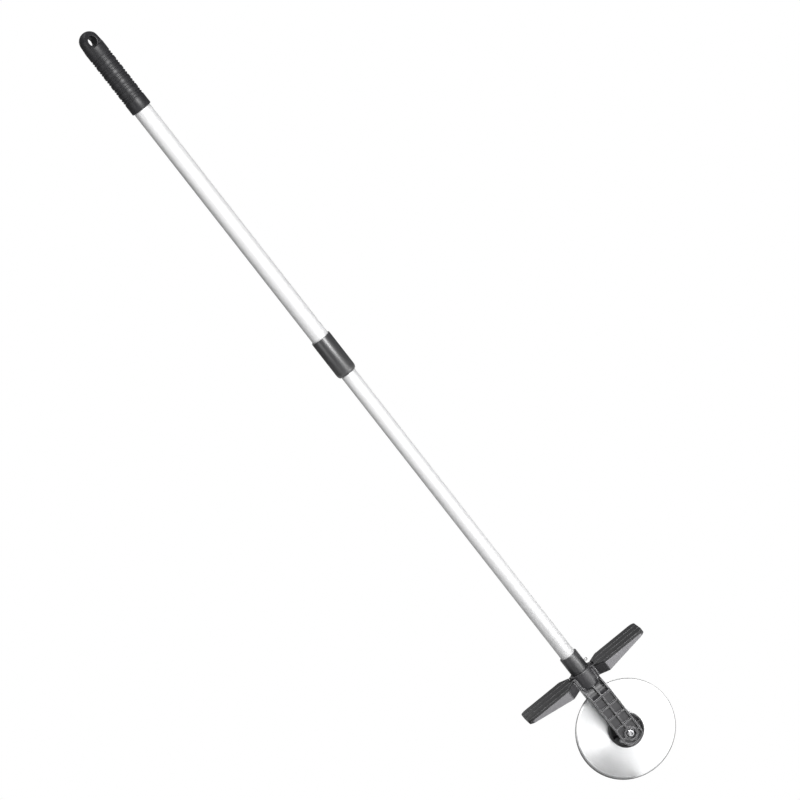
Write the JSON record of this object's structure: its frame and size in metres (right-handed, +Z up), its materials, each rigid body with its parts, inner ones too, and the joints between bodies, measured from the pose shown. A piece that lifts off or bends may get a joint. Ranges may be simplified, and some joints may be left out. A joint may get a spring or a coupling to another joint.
{
  "type": "telescopic rolling disc edge cutter",
  "caption": "Telescopic pole with a ridged hang-up grip, twist-lock collars, a winged foot-rest head and a forked arm that carries a free-rolling round steel edging disc.",
  "frame": {"origin": "on the pole's axis, level with the lowest point of the disc", "axes": "+Z up along the pole to the grip, X along the two wings, Y along the disc's axle, front is -Y"},
  "size_m": [0.175, 0.054, 1.115],
  "materials": {
    "moulded_black": "satin moulded black plastic with a fine texture",
    "grip_plastic": "soft satin black plastic",
    "tube_silver": "satin anodised, bright",
    "tread_rubber": "matt black rubber with lengthwise grooves",
    "disc_steel": "ground steel with fine circular marks",
    "fastener_steel": "bright zinc plate",
    "lock_plastic": "natural white nylon",
    "bush_plastic": "natural acetal"
  },
  "bodies": {
    "handle": {"grip": "grip_plastic", "upper_tube": "tube_silver", "upper_collar": "moulded_black"},
    "upper_ring": {"upper_lock_ring": "lock_plastic"},
    "middle": {"upper_lock_plug": "lock_plastic", "middle_tube": "tube_silver", "lower_collar": "moulded_black", "eye_pin": "fastener_steel"},
    "lower_ring": {"lower_lock_ring": "lock_plastic"},
    "head": {"lower_tube": "tube_silver", "lower_lock_plug": "lock_plastic", "fork_head": "moulded_black", "tread_left": "tread_rubber", "tread_right": "tread_rubber", "tube_screw": "fastener_steel", "axle_screw": "fastener_steel", "axle_nut": "fastener_steel", "axle_sleeve": "fastener_steel", "washer_front": "fastener_steel", "washer_rear": "fastener_steel"},
    "wheel": {"blade": "disc_steel", "hub_flange_front": "moulded_black", "hub_flange_rear": "moulded_black", "hub_bush": "bush_plastic", "flange_rivets": "fastener_steel"}
  },
  "joints": [
    {"name": "first_stage_slide", "type": "slide", "parent": "handle", "child": "upper_ring", "axis": [0, 0, 1], "range_m": [0, 0.435]},
    {"name": "first_stage_twist", "type": "hinge", "parent": "upper_ring", "child": "middle", "pos_m": [0, 0, 0.64], "axis": [0, 0, 1], "range_deg": [0, 180]},
    {"name": "second_stage_slide", "type": "slide", "parent": "middle", "child": "lower_ring", "axis": [0, 0, -1], "range_m": [0, 0.235]},
    {"name": "second_stage_twist", "type": "hinge", "parent": "lower_ring", "child": "head", "pos_m": [0, 0, 0.44], "axis": [0, 0, 1], "range_deg": [0, 180]},
    {"name": "wheel_spin", "type": "hinge", "parent": "head", "child": "wheel", "pos_m": [0, 0, 0.0625], "axis": [0, 1, 0], "continuous": true}
  ]
}
